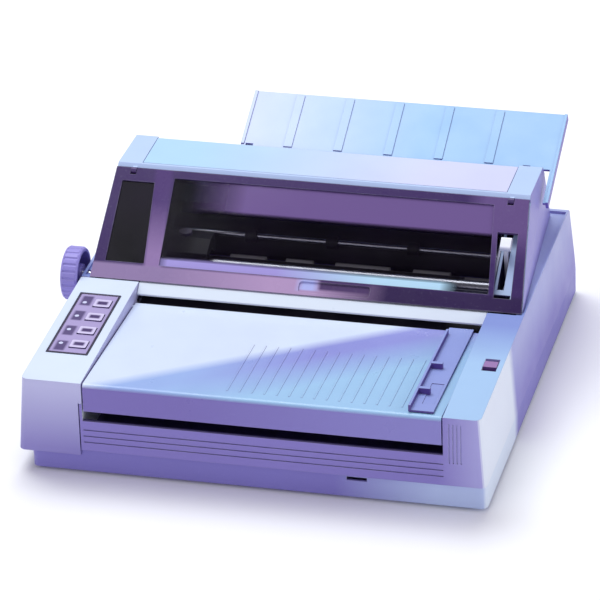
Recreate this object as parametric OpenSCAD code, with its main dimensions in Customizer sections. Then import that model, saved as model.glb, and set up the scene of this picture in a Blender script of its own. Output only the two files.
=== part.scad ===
// Desktop dot matrix printer with a front paper table, a smoked front cover,
// a lidded top and a ribbed rear sheet guide.
// Millimetres. X runs to the right, Y from the front to the rear, Z up.
// The origin is the middle of the whole printer's footprint, on the table it stands on.

/* [Case] */
// Width of the case
case_w = 410; // [400:1:430]
// Depth of the case at its foot
case_d = 414; // [408:1:430]
// Height of the two towers at the front
front_h = 91; // [89:0.5:95]
// Height of the shoulder that the upper housing stands on
shoulder_h = 93; // [91:0.5:96]
// Height of the seam between the pan and the case
seam_h = 25; // [22:0.5:28]
// Wall thickness of the mouldings
wall = 2.5; // [2:0.1:3]
// Width of the control tower on the left
pod_w = 54; // [50:1:58]
// Width of the tower on the right
tower_w = 37; // [34:1:40]
// Overhang of the control tower over the pan
pan_inset = 5; // [4:0.5:12]
// Setback of the pan's front face
pan_setback = 3; // [1:0.5:5]
// Radius of the upright corners
corner_r = 6; // [3:0.5:8]
// Lean of the control tower's outer wall, in degrees
pod_lean = 4.8; // [0:0.1:6]
// Lean of the case's right wall, in degrees
side_lean = 3.4; // [0:0.1:4.5]
// Depth of the deck recess that the upper housing stands in
deck_drop = 2.5; // [1:0.5:3]
// Thickness of the rim beside the deck recess
rim_t = 1.5; // [1.2:0.1:2]

/* [Feet] */
// Radius of a rubber foot
foot_r = 9; // [6:0.5:11]
// Height of the feet below the pan
foot_h = 3; // [2:0.5:5]
// Distance of a foot from the pan's edges
foot_in = 26; // [20:1:34]

/* [Front table] */
// Height of the table's front edge
table_front_h = 90; // [88:0.5:91]
// Drop of the table from its front to its rear
table_drop = 9.5; // [8:0.5:11]
// Depth of the table
table_d = 171; // [168:0.5:172]
// Thickness of the table
table_t = 2.6; // [2:0.1:3]
// Height of the front lip of the table
lip_h = 26; // [22:0.5:28]
// Gap along the table's sides
table_gap = 1.2; // [0.8:0.1:2]
// Width of the ridges on the table
ridge_w = 1.4; // [1:0.1:2]
// Distance between the ridges
ridge_pitch = 11; // [8:0.5:14]
// Number of ridges
ridge_n = 15; // [4:1:16]
// Height of the paper slot under the lip
slot_h = 9; // [7:0.5:11]
// Width of the edge guide
edge_w = 22; // [18:1:26]
// Gap between the edge guide and the table's right edge
edge_gap = 7.8; // [6:0.1:12]

/* [Upper housing] */
// Where the smoked cover starts, from the front
cover_y = 188; // [186:0.5:190]
// Run of the cover's slope
cover_run = 95.5; // [92:0.5:98]
// Rise of the cover's slope
cover_rise = 64.5; // [62:0.5:68]
// Thickness of the smoked cover
cover_t = 3; // [2.6:0.1:3.6]
// Where the top lid ends at the rear
lid_rear_y = 343; // [341:0.5:346]
// Height of the top
top_h = 160; // [159.5:0.5:162]
// Where the housing's foot ends at the rear
housing_rear_y = 388; // [386:1:391]
// Distance of the smoked cover's lower edge from the case's left wall
cover_in_l = 8; // [6:0.5:10]
// Distance of the smoked cover's lower edge from the case's right wall
cover_in_r = 6; // [5:0.5:9]
// Width of the rail beside the lid on the left
rail_l = 22; // [18:1:24]
// Width of the rail beside the lid on the right
rail_r = 21.5; // [18:0.5:24]

/* [Sheet guide] */
// Width of the rear sheet guide
guide_w = 294; // [270:1:300]
// Offset of the sheet guide's middle to the right
guide_x = 51; // [30:1:52]
// Length of the sheet guide
guide_len = 66; // [50:1:72]
// Lean of the sheet guide above the level
guide_lean = 24; // [18:1:26]
// Thickness of the sheet guide
guide_t = 2.5; // [2:0.1:3]
// Distance between the sheet guide's ribs
guide_rib_pitch = 47; // [30:1:56]
// Width of a sheet guide rib
guide_rib_w = 8; // [4:0.5:10]
// Distance of the first rib from the sheet guide's left edge
guide_rib_x = 40; // [30:1:44]
// Length of the arm beside the housing on the right
guide_arm = 39; // [30:1:42]

/* [Control panel] */
// Width of the key panel
panel_w = 38; // [34:0.5:40]
// Length of the key panel
panel_len = 110; // [90:1:114]
// Distance of the key panel from the front
panel_y = 49; // [44:1:52]
// Number of keys
key_n = 4; // [4:1:4]
// Width of a key
key_w = 15; // [12:0.5:16]
// Length of a key
key_len = 13; // [10:0.5:16]
// Travel of a key
key_travel = 1.2; // [0.8:0.1:1.6]

/* [Paper drive] */
// Distance between the side frames
frame_gap = 315; // [313:1:317]
// Offset of the paper path's middle to the right
path_x = 8.5; // [7.5:0.5:9.5]
// Thickness of the side frames
frame_t = 2; // [1.6:0.1:2.4]
// Height of the paper path where it enters
path_h = 80; // [79:0.25:81]
// Module of the gears
gear_m = 1.25; // [1.25:0.05:1.25]
// Thickness of the gears
gear_t = 6; // [4:0.5:7]
// Radius of the platen
platen_r = 18; // [16:0.5:18.5]
// Length of the platen
platen_len = 300; // [280:1:304]
// Radius of the feed roller's sleeves
feed_r = 8; // [7:0.1:8.2]
// Radius of the feed roller's shaft
feed_shaft_r = 3; // [2.5:0.1:3.5]
// Width of a feed roller's sleeve
sleeve_w = 30; // [24:1:34]
// Teeth of the feed gear
feed_teeth = 14; // [14:1:14]
// Teeth of the forward idler
idler_a_teeth = 18; // [18:1:18]
// Teeth of the rear idler
idler_b_teeth = 22; // [22:1:22]
// Teeth of the platen gear
platen_teeth = 36; // [36:1:36]
// Teeth of the tractor idlers
tractor_idler_teeth = 18; // [18:1:18]
// Teeth of the motor pinion
pinion_teeth = 12; // [12:1:12]
// Radius of the pressure rollers
press_r = 5; // [4:0.1:5.2]
// Radius of the knob
knob_r = 24.5; // [20:0.5:26]
// Thickness of the knob
knob_t = 16; // [12:0.5:18]

/* [Carriage] */
// Radius of the carriage shaft
rod_r = 6; // [5:0.1:6.2]
// Width of the carriage
carriage_w = 40; // [36:1:42]
// Travel of the carriage
carriage_travel = 258; // [240:1:259]
// Width of the ribbon cartridge
ribbon_w = 50; // [44:1:52]
// Width of the print head
head_w = 30; // [24:1:32]
// Pitch radius of the belt pulleys
pulley_r = 5; // [4.5:0.1:5.3]

/* [Tractors] */
// Width of a tractor
tractor_w = 16; // [12:0.5:18]
// Length of a tractor
tractor_len = 66; // [60:1:68]
// Radius of the tractor rod
tractor_rod_r = 4; // [3:0.1:4.5]
// Side of the square tractor shaft
tractor_sq = 7; // [5:0.1:8]

/* [Electrics] */
// Height of the circuit board above the table the printer stands on
board_z = 12; // [11:0.5:13]
// Thickness of the circuit board
board_t = 1.6; // [1:0.1:2]
// Depth of the circuit board
board_d = 250; // [220:1:256]
// Width of the power supply
supply_w = 60; // [50:1:64]
// Depth of the power supply
supply_d = 40; // [34:1:42]
// Height of the power supply
supply_h = 44; // [36:1:46]

/* [Fits] */
// Radial clearance of a running fit
run_fit = 0.05; // [0.02:0.01:0.1]
// Clearance between parts that pass each other
pass_gap = 0.4; // [0.3:0.05:0.6]

/* [Hidden] */
$fn = 48;
eps = 0.01;

// Case planes
right_x = case_w / 2;
left_x = -case_w / 2;
bay_l = left_x + pod_w;
bay_r = right_x - tower_w;
pan_left_x = left_x + pan_inset;
rear_top_y = case_d - 18;
sill_y = cover_y - 9;
bay_floor_h = seam_h + 5;
slot_top_h = table_front_h - lip_h;
slot_bottom_h = slot_top_h - slot_h;
bezel_t = 7;
deck_h = shoulder_h - deck_drop;
// Right edge of the case's shoulder
shoulder_x = right_x - (shoulder_h - seam_h) * tan(side_lean);

// Frames
frame_l = path_x - frame_gap / 2;
frame_r = path_x + frame_gap / 2;
frame_y0 = 140;
frame_y1 = lid_rear_y - 13;
frame_z0 = path_h - 40;

// Paper drive axes, each as [y, z]
feed_p = [cover_y + 15, path_h + feed_r];
drive_d = pitch_r(feed_teeth) + 2 * pitch_r(idler_a_teeth)
    + 2 * pitch_r(idler_b_teeth) + pitch_r(platen_teeth);
drive_a = asin(8 / drive_d);
idler_a_p = along(feed_p, drive_a, pitch_r(feed_teeth) + pitch_r(idler_a_teeth));
idler_b_p = along(idler_a_p, drive_a, pitch_r(idler_a_teeth) + pitch_r(idler_b_teeth));
platen_p = along(idler_b_p, drive_a, pitch_r(idler_b_teeth) + pitch_r(platen_teeth));
pinion_p = along(idler_b_p, -90, pitch_r(idler_b_teeth) + pitch_r(pinion_teeth));
tractor_a = 220;
tractor_step = pitch_r(feed_teeth) + pitch_r(tractor_idler_teeth);
tractor_ia_p = along(feed_p, tractor_a, tractor_step);
tractor_ib_p = along(tractor_ia_p, tractor_a, 2 * pitch_r(tractor_idler_teeth));
tractor_p = along(tractor_ib_p, tractor_a, tractor_step);
tractor_rod_p = [tractor_p[0] - 46, tractor_p[1]];
gear_x = frame_l - frame_t - gear_t - 8;
stud_r = 2.5;
// Room between the feed motor's rear and the case's left wall
motor_room = 11.5;
motor_r = min(17, deck_h - wall - pinion_p[1] - 0.5);
motor_x = left_x + wall + motor_room;

// Carriage
rod_p = [feed_p[0] + 27, path_h + 14];
rail_y = rod_p[0] - 16;
rail_t = 1.5;
rail_top = path_h + 19;
head_y = rod_p[0] + 11;
nose_y = platen_p[0] - platen_r - 1.3;
carriage_x = frame_l + 3 + ribbon_w / 2;
belt_y = rod_p[0] + 16;
belt_z = path_h + 3;
belt_h = 5;
belt_t = 1.2;
shelf_z = path_h - 0.2;
shelf_t = 1.8;
return_x = frame_l + 10;
drive_x = frame_r - 17;
bushing_r = 10;
press_p = along(platen_p, 215, platen_r + press_r + pass_gap);
bail_r = 6;
bail_p = along(platen_p, 147, platen_r + bail_r + pass_gap);
bail_pivot = [platen_p[0], platen_p[1] + 30];
lever_p = [cover_y + 67, path_h];

// Smoked cover
slope = atan(cover_rise / cover_run);
slope_len = cover_run / cos(slope);
cover_z = shoulder_h + 0.8;
cover_pin_r = 1.5;
cover_hinge_s = slope_len - 2;
cover_hinge_n = -1.8;
cover_l0 = left_x + cover_in_l;
cover_l1 = cover_l0 + 2;
cover_r0 = right_x - cover_in_r;
cover_r1 = cover_r0 - 12;
window_l0 = frame_l + 11;
window_l1 = window_l0 - 3;
window_s0 = 15;
window_r0 = frame_r + 2;
window_r1 = window_r0 - 10;
side_l0 = cover_l0 + 9;
side_l1 = cover_l1 + 6;
lid_l = cover_l1 + rail_l;
lid_r = cover_r1 - rail_r;
bar_y = cover_y + cover_run + 2.6;
lid_y = bar_y + 5;
lid_t = 2.5;
lid_pin_y = lid_rear_y - 3;
guide_y = lid_rear_y + 6;
guide_z = top_h - 3.5;
guide_pin_r = 2;
table_slope = atan(table_drop / table_d);
table_l = bay_l + table_gap;
table_r = bay_r - table_gap;
table_pin = [table_d - 6, table_front_h - table_drop - 1.7];
pod_top_a = atan((shoulder_h - front_h) / cover_y);
guide_hinge_n = -guide_t - 2.1;

// Whole footprint, which sets the origin
knob_x = left_x - 2;
knob_end_x = knob_x - knob_t;
mid_x = (knob_end_x + right_x) / 2;
mid_y = case_d / 2;

function pitch_r(teeth) = gear_m * teeth / 2;
function along(p, a, d) = [p[0] + d * cos(a), p[1] + d * sin(a)];
function cover_at(y) = cover_z + (y - cover_y) * tan(slope);
function table_at(y) = table_front_h - y * tan(table_slope);

// Places a piece, drawn from the middle of the case's front foot, in the printer's frame
module place() { translate([-mid_x, -mid_y, 0]) children(); }

// Extrudes a [y, z] outline across the printer from x0 to x1
module across(x0, x1) {
    translate([x0, 0, 0]) rotate([90, 0, 90]) linear_extrude(x1 - x0) children();
}

// Extrudes an [x, z] outline from y0 back to y1
module back(y0, y1) {
    translate([0, y1, 0]) rotate([90, 0, 0]) linear_extrude(y1 - y0) children();
}

// Extrudes an [x, y] outline from z0 up to z1
module up(z0, z1) { translate([0, 0, z0]) linear_extrude(z1 - z0) children(); }

// A block between two corners
module block(a, b) { translate(a) cube(b - a); }

// A rod along X at p = [y, z]
module rod(p, r, x0, x1) {
    translate([x0, p[0], p[1]]) rotate([0, 90, 0]) cylinder(h = x1 - x0, r = r);
}

// An upright rod at p = [x, y]
module post(p, r, z0, z1) { translate([p[0], p[1], z0]) cylinder(h = z1 - z0, r = r); }

// A flat rectangle with rounded corners
module round_rect(x0, y0, x1, y1, r) {
    translate([x0 + r, y0 + r]) offset(r = r, $fn = 24)
        square([x1 - x0 - 2 * r, y1 - y0 - 2 * r]);
}

// Works on the smoked cover's slope: x across, y up the slope, z outwards
module on_slope() { translate([0, cover_y, cover_z]) rotate([slope, 0, 0]) children(); }

// Works on the table's top
module on_table() { translate([0, 0, table_front_h]) rotate([-table_slope, 0, 0]) children(); }

// Works on the control tower's top
module on_pod() { translate([0, 0, front_h]) rotate([pod_top_a, 0, 0]) children(); }

// Works on the sheet guide: x across, y up the guide, z off its face
module on_guide() { translate([0, guide_y, guide_z]) rotate([guide_lean, 0, 0]) children(); }

// Outline of a spur gear with straight-flanked teeth
module gear_outline(teeth, turn = 0) {
    r = pitch_r(teeth);
    step = 360 / teeth;
    polygon([for (i = [0 : teeth - 1], c = [[-0.31, -1.15], [-0.12, 0.8], [0.12, 0.8], [0.31, -1.15]])
        let (a = turn + (i + c[0]) * step, d = r + c[1] * gear_m) [d * cos(a), d * sin(a)]]);
}

// A gear on an axis along X at p, with a round bore and a hub
module spur(teeth, p, bore, turn = 0) {
    translate([gear_x, p[0], p[1]]) rotate([90, 0, 90]) difference() {
        union() {
            linear_extrude(gear_t) gear_outline(teeth, turn);
            translate([0, 0, -1]) cylinder(h = gear_t + 2, r = bore + 2);
        }
        translate([0, 0, -2]) cylinder(h = gear_t + 4, r = bore);
    }
}

// The tooth turn that meshes a gear with its neighbour at angle a, whose own turn is known
function mesh_turn(teeth, a, other_teeth, other_turn) =
    let (s = 360 / teeth, so = 360 / other_teeth, f = (a - other_turn) / so)
    a + 180 + s / 2 + (f - floor(f)) * s;

feed_turn = 0;
idler_a_turn = mesh_turn(idler_a_teeth, drive_a, feed_teeth, feed_turn);
idler_b_turn = mesh_turn(idler_b_teeth, drive_a, idler_a_teeth, idler_a_turn);
platen_turn = mesh_turn(platen_teeth, drive_a, idler_b_teeth, idler_b_turn);
pinion_turn = mesh_turn(pinion_teeth, -90, idler_b_teeth, idler_b_turn);
tractor_ia_turn = mesh_turn(tractor_idler_teeth, tractor_a, feed_teeth, feed_turn);
tractor_ib_turn = mesh_turn(tractor_idler_teeth, tractor_a, tractor_idler_teeth, tractor_ia_turn);
tractor_turn = mesh_turn(feed_teeth, tractor_a, tractor_idler_teeth, tractor_ib_turn);

// ---- Case ----

// The four feet's places on the pan
function foot_at(i, j) = [i == 0 ? pan_left_x + foot_in : right_x - foot_in,
    j == 0 ? pan_setback + foot_in : case_d - foot_in - 6];

pan_rear_y = case_d;
notch_x = 91;
frame_screw_y = [cover_y + 32, frame_y1 - 15];
board_l = frame_l + 21;
board_r = frame_r - 36;
board_y = 40;

module pan_plan(inset) {
    round_rect(pan_left_x + inset, pan_setback + inset, right_x - inset, pan_rear_y - inset,
        max(corner_r - inset, 1));
}

module bottom_pan() place() color("#8f86c8") {
    difference() {
        up(foot_h, seam_h) pan_plan(0);
        up(foot_h + wall, seam_h + 1) pan_plan(wall);
        // finger notch in the front strip
        block([notch_x - 9, pan_setback - 1, seam_h - 6],
            [notch_x + 9, pan_setback + wall + 1, seam_h - 2.5]);
        // cooling slots under the board
        for (i = [0 : 9]) block([-120 + i * 22, 90, 0], [-112 + i * 22, 150, seam_h - 1]);
        // seats for the feet
        for (i = [0, 1], j = [0, 1]) post(foot_at(i, j), foot_r - 3, 0, seam_h - 1);
    }
    // posts that carry the board and the frames
    for (x = [board_l + 8, board_r - 10], y = [board_y + 20, board_y + board_d - 20])
        post([x, y], 4, foot_h + wall - eps, board_z);
    for (x = [frame_l + 8, frame_r - 8], y = frame_screw_y)
        difference() {
            post([x, y], 6, foot_h + wall - eps, frame_z0);
            post([x, y], 1.5, frame_z0 - 12, frame_z0 + 1);
        }
}

module rubber_feet() place() color("#2b2a33")
    for (i = [0, 1], j = [0, 1]) {
        post(foot_at(i, j), foot_r, 0, foot_h);
        post(foot_at(i, j), foot_r - 3, foot_h - eps, foot_h + wall + 1);
    }

// Side outline of the case above the seam, as [y, z]
module case_side() {
    polygon([[0, seam_h], [0, front_h], [cover_y, shoulder_h], [rear_top_y, shoulder_h],
        [rear_top_y + 4, shoulder_h - 3], [case_d - 3.5, seam_h]]);
}

// Space inside the case's outer walls, shrunk by inset: the right wall leans in
module case_body(inset) {
    r = max(corner_r - inset, 1);
    in = inset + r;
    intersection() {
        up(seam_h - inset, shoulder_h + 1)
            round_rect(left_x + inset, inset, right_x + 2 * corner_r, case_d - inset, r);
        translate([right_x, 0, seam_h]) rotate([0, -side_lean, 0]) up(-seam_h, shoulder_h)
            round_rect(-case_w - in, inset, -inset, case_d - inset, r);
    }
}

// The front bezel below the paper slot: a wall with grooves
module bezel_side() {
    difference() {
        polygon([[0, seam_h], [0, slot_bottom_h - 0.8], [0.8, slot_bottom_h], [wall, slot_bottom_h],
            [wall + 1, bay_floor_h + wall], [3.5, seam_h]]);
        for (i = [0 : 2]) translate([-0.4, seam_h + 8 + i * 6]) square([1.2, 1.2]);
    }
}

selector_p = [right_x - 15, 96];

module main_case() place() color("#a9a3dc") {
    difference() {
        intersection() {
            across(left_x, right_x) case_side();
            case_body(0);
        }
        // room for the control tower
        block([left_x - 1, -1, 0], [bay_l - wall, cover_y + 1, shoulder_h + 1]);
        // the bay under the table, open to the rear
        block([bay_l, bezel_t, bay_floor_h + wall], [bay_r, cover_y + 2, shoulder_h + 1]);
        block([bay_l, -1, slot_bottom_h], [bay_r, cover_y, shoulder_h + 1]);
        block([bay_l, -1, seam_h - 1], [bay_r, cover_y + 2, bay_floor_h]);
        block([bay_l, -1, seam_h - 1], [bay_r, bezel_t + 1, shoulder_h]);
        // the right tower's inside
        intersection() {
            across(bay_r + wall, right_x) polygon([[wall, seam_h - 1], [wall, front_h - wall],
                [cover_y + 1, shoulder_h - wall], [cover_y + 1, seam_h - 1]]);
            case_body(wall);
        }
        // the rear well that holds the mechanism
        intersection() {
            across(left_x, right_x) polygon([[cover_y, seam_h - 1], [cover_y, deck_h - wall],
                [rear_top_y - wall - 1, deck_h - wall], [case_d - 3.5 - wall - 1, seam_h - 1]]);
            case_body(wall);
        }
        // the sunk deck that the upper housing stands on, and its opening
        up(deck_h, shoulder_h + 1) polygon([[left_x + wall, cover_y + 5],
            [shoulder_x - rim_t, cover_y + 5], [shoulder_x - rim_t, rear_top_y - 4],
            [left_x + wall, rear_top_y - 4]]);
        up(deck_h - wall - 1, shoulder_h + 1) intersection() {
            housing_plan(5);
            translate([left_x, cover_y - 1]) square([case_w, housing_rear_y - 6 - cover_y]);
        }
        // the frames close the bay's sides at the rear
        block([bay_l - wall - 1, frame_y0 - 1, bay_floor_h + wall],
            [bay_l + 1, cover_y + 2, shoulder_h + 1]);
        block([bay_l - wall - 1, -1, table_at(60) - 16],
            [bay_l + 1, cover_y + 2, shoulder_h + 1]);
        // rod, pin and shaft seats
        rod(tractor_rod_p, tractor_rod_r + run_fit, bay_l - wall - 1, bay_r + wall - 1);
        rod(table_pin, 2.2 + run_fit, bay_r - 1, bay_r + wall + 1);
        rod(tractor_p, 8, bay_r - 1, bay_r + wall + 1);
        // slot of the selector
        on_pod() block([selector_p[0] - 6.4, selector_p[1] - 10.5, -8],
            [selector_p[0] + 6.4, selector_p[1] + 10.5, 1]);
        // upright grooves on the right tower's front
        for (i = [0 : 3]) translate([bay_r + 5 + i * 3.4, 0, front_h])
            block([0, -1, -44], [1, 0.7, -6]);
        // rear sockets and switch
        rear_openings();
        for (i = [0 : 11]) block([-60 + i * 9, case_d - 30, 62], [-56 + i * 9, case_d + 1, 82]);
        // knob shaft
        rod(feed_p, feed_shaft_r + 1, left_x - 1, cover_l0 + 8);
    }
    across(bay_l, bay_r) bezel_side();
    block([bay_l, 2, bay_floor_h], [bay_r, 9, bay_floor_h + wall]);
    // rests for the table's front corners
    block([bay_r - 6, 9, slot_bottom_h + 4], [bay_r + eps, 14, table_at(9) - table_t - 0.9]);
    // rails that the selector's foot runs in
    on_pod() for (s = [-1, 1]) translate([selector_p[0], selector_p[1] - 13, 0]) {
        block([s > 0 ? 8.3 : -9.8, 0, -7.4], [s > 0 ? 9.8 : -8.3, 26, -wall + eps]);
        block([s > 0 ? 7 : -8.4, 0, -7.4], [s > 0 ? 8.4 : -7, 26, -6.3]);
    }
}

socket_y = case_d - 26;
module rear_openings() {
    block([-150, socket_y, 40], [-88, case_d + 1, 56]);
    block([110, socket_y, 36], [138, case_d + 1, 57]);
    block([150, socket_y, 36], [171, case_d + 1, 51]);
}

module pod_side() {
    polygon([[0, seam_h - 5], [0, front_h], [cover_y, shoulder_h], [cover_y, seam_h - 5]]);
}

pod_panel_l = left_x + 8;

// Extrudes a plan along the control tower's leaning outer wall
module pod_lean_at() {
    translate([left_x, 0, front_h]) rotate([0, pod_lean, 0]) up(-2 * front_h, front_h) children();
}

module control_pod() place() color("#c9cdf0") {
    difference() {
        intersection() {
            across(left_x - 20, bay_l) pod_side();
            pod_lean_at() round_rect(0, 0, pod_w + 40, cover_y + 20, corner_r);
        }
        intersection() {
            across(left_x - 20, bay_l - wall) polygon([[wall, 0], [wall, front_h - wall],
                [cover_y - wall, shoulder_h - wall], [cover_y - wall, 0]]);
            pod_lean_at() round_rect(wall, wall, pod_w + 40, cover_y + 20, corner_r - wall);
        }
        // open to the pan and to the case
        block([bay_l - wall - 1, -1, 0], [bay_l + 1, cover_y + 1, table_at(60) - 16 + pass_gap]);
        block([pan_left_x - pass_gap, pan_setback - pass_gap, 0],
            [bay_l + 1, cover_y + 1, seam_h + pass_gap]);
        // the key panel's opening
        on_pod() block([pod_panel_l + 3, panel_y + 3, -6],
            [pod_panel_l + panel_w - 3, panel_y + panel_len - 3, 2]);
        on_pod() block([pod_panel_l, panel_y, -1], [pod_panel_l + panel_w, panel_y + panel_len, 2]);
        rod(table_pin, 2.2 + run_fit, bay_l - wall - 1, bay_l + 1);
        // the frames and the paper drive behind
        block([bay_l - wall - 1, sill_y + 1, 0], [bay_l + 1, cover_y + 1, table_at(table_d) - 1]);
        block([left_x + 12, cover_y - wall - 1, 0], [bay_l + 1, cover_y + 1, shoulder_h - 4]);
    }
    block([bay_l - eps, 9, table_at(60) - 15], [bay_l + 6, 14, table_at(9) - table_t - 0.9]);
}

key_step = (panel_len - 10) / key_n;
key_x = pod_panel_l + panel_w - 5 - key_w;
function key_y(i) = panel_y + 5 + key_step * (i + 0.5);

module key_frame() place() color("#2a2740") on_pod() {
    difference() {
        block([pod_panel_l + pass_gap / 2, panel_y + pass_gap / 2, -1],
            [pod_panel_l + panel_w - pass_gap / 2, panel_y + panel_len - pass_gap / 2, 0.6]);
        block([pod_panel_l + 2, panel_y + 2, 0], [pod_panel_l + panel_w - 2, panel_y + panel_len - 2, 1]);
        for (i = [0 : key_n - 1]) {
            block([key_x - pass_gap, key_y(i) - key_len / 2 - pass_gap, -3],
                [key_x + key_w + pass_gap, key_y(i) + key_len / 2 + pass_gap, 2]);
            translate([pod_panel_l + 9, key_y(i), -3]) cylinder(h = 5, r = 2.1);
        }
    }
    // skirt and the switch board under the keys
    difference() {
        block([pod_panel_l + 3.4, panel_y + 3.4, -5.5],
            [pod_panel_l + panel_w - 3.4, panel_y + panel_len - 3.4, -1 + eps]);
        block([pod_panel_l + 5, panel_y + 5, -4.5],
            [pod_panel_l + panel_w - 5 + pass_gap, panel_y + panel_len - 5, 0]);
    }
}

module key(i) place() color("#b9b2e6") on_pod() {
    k = key_len / 2;
    up(-2.8, 1) round_rect(key_x, key_y(i) - k, key_x + key_w, key_y(i) + k, 1.5);
    up(-3, -2.2) round_rect(key_x, key_y(i) - k - 1.5, key_x + key_w - 1, key_y(i) + k + 1.5, 1);
}
module key_1() key(0);
module key_2() key(1);
module key_3() key(2);
module key_4() key(3);

module indicator_lamps() place() color("#d8d4f4") on_pod()
    for (i = [0 : key_n - 1]) translate([pod_panel_l + 9, key_y(i), -4.5]) cylinder(h = 4.9, r = 2);

module selector_slide() place() color("#3a3550") on_pod() translate([selector_p[0], selector_p[1], 0]) {
    block([-6, -5, -5.8], [6, 5, 0.8]);
    block([-8, -8.5, -6], [8, 8.5, -4.8]);
}

// ---- Front table ----

guide_edge_x = table_r - edge_gap - edge_w;
ridge_x0 = guide_edge_x + 3 - ridge_n * ridge_pitch;

module front_table() place() color("#cfdcf6") {
    difference() {
        union() {
            across(table_l, table_r) difference() {
                table_section(0);
                table_section(table_t);
            }
            // side skirts
            for (x = [table_l, table_r - table_t]) across(x, x + table_t)
                polygon([[3, table_at(3) - 1], [3, table_at(0) - 9],
                    [table_pin[0] - 6, table_at(table_pin[0]) - 6], [table_pin[0], table_pin[1] - 3],
                    [table_d - 1.5, table_pin[1] - 2], [table_d - 1, table_at(table_d) - 1]]);
            rod(table_pin, 2.2, table_l - table_gap - wall + 0.3, table_l + 5);
            rod(table_pin, 2.2, table_r - 5, table_r + table_gap + wall - 0.3);
            // ridges that the paper runs on
            on_table() for (i = [0 : ridge_n - 1])
                translate([ridge_x0 + i * ridge_pitch, 0, 0])
                    block([0, 14, -0.3], [ridge_w, table_d - 63, 0.5]);
        }
        // clear of the corner rests
        block([table_l - 1, 6, 0], [bay_l + 8, 16, table_at(9) - table_t - 0.6]);
        block([bay_r - 8, 6, 0], [table_r + 1, 16, table_at(9) - table_t - 0.6]);
    }
}

// Side section of the table, shrunk by t, as [y, z]
module table_section(t) {
    r = 4;
    translate([t, -t]) polygon(concat(
        [[0, slot_top_h + (t > 0 ? -1 : 0)]],
        [for (a = [180 : -15 : 90]) [r + r * cos(a), table_front_h - r + r * sin(a)]],
        [[table_d + (t > 0 ? 1 : 0), table_at(table_d)]],
        t > 0 ? [[table_d + 1, 0], [0, 0]] : [[table_d, table_at(table_d) - table_t],
            [8, slot_top_h + 14], [table_t, slot_top_h]]));
}

// Fence for the paper's edge; it hooks round the table's rear edge and slides along it
module edge_guide() place() color("#aab4ea") on_table() translate([guide_edge_x, 0, 0]) {
    hook_y = table_d / cos(table_slope) + 0.35;
    difference() {
        block([0, 6, 0.9], [edge_w, hook_y + 0.8, 2.6]);
        block([9, 20, 2], [edge_w - 2, 60, 3]);
    }
    block([0, 6, 0.9], [2, table_d - 11, 7]);
    for (y = [38, 88]) block([2, y, 2], [12, y + 4, 8]);
    block([1, hook_y, -table_t - 1.5], [edge_w - 1, hook_y + 0.8, 1]);
    block([1, hook_y - 4, -table_t - 1.5], [edge_w - 1, hook_y + 0.8, -table_t - 0.5]);
}

// Strip below the smoked cover, above the rear paper slot
module paper_sill() place() color("#eef3fb")
    across(bay_l + 0.5, bay_r - 0.5)
        polygon([[sill_y, path_h + 4], [sill_y, path_h + 5.5], [cover_y - 0.5, cover_z - 1.5],
            [cover_y + 5, cover_z - 1], [cover_y + 5, cover_z - 4], [sill_y + 3, path_h + 4]]);

// ---- Upper housing ----

// Side outline of the housing under the smoked cover, as [y, z]
module housing_side(t) {
    in = cover_t + 0.4;
    y0 = cover_y + in / sin(slope);
    foot = deck_h + (t > 0 ? -1 : 0.2);
    polygon([[y0 + t * 2, foot], [y0 + t * 2, shoulder_h + 0.2],
        [bar_y + t / 2, cover_at(bar_y) - in / cos(slope) - t], [bar_y + t / 2, top_h - 3 - t],
        [bar_y + 3, top_h - t], [lid_rear_y + 3, top_h - t], [lid_rear_y + 5, top_h - 8 - t],
        [housing_rear_y - t - 1.7, shoulder_h], [housing_rear_y - t - 1.7, foot]]);
}

// Front view of the housing: its sides lean inwards, as [x, z]
module housing_front(t) {
    polygon([[cover_l0 + t, deck_h - 2], [cover_l1 + t, top_h + 1], [cover_r1 - t, top_h + 1],
        [cover_r0 - t, deck_h - 2]]);
}

// Plan of the housing: its right side draws in towards the rear, as [x, y]
module housing_plan(t) {
    polygon([[cover_l0 + t, cover_y - 1], [cover_l0 + 4 + t, housing_rear_y + 1],
        [cover_r0 - 13.5 - t, housing_rear_y + 1], [cover_r0 - t, cover_y - 1]]);
}

module housing_body(t) {
    intersection() {
        across(left_x, right_x) housing_side(t);
        back(cover_y - 1, housing_rear_y + 1) housing_front(t);
        up(deck_h - 2, top_h + 1) housing_plan(t);
    }
}

hinge_ears = [lid_l - 8, lid_r + 3];
guide_ears = [guide_x - guide_w / 2 + 5, guide_x + guide_w / 2 - 30];

cover_hinge_z = cover_z + cover_hinge_s * sin(slope) + cover_hinge_n * cos(slope);

// Works on the smoked cover's and the sheet guide's hinge axes
module cover_hinge_at() {
    on_slope() translate([0, cover_hinge_s, cover_hinge_n]) rotate([0, 90, 0]) children();
}
module guide_hinge_at() { on_guide() translate([0, 3, guide_hinge_n]) rotate([0, 90, 0]) children(); }

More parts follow.
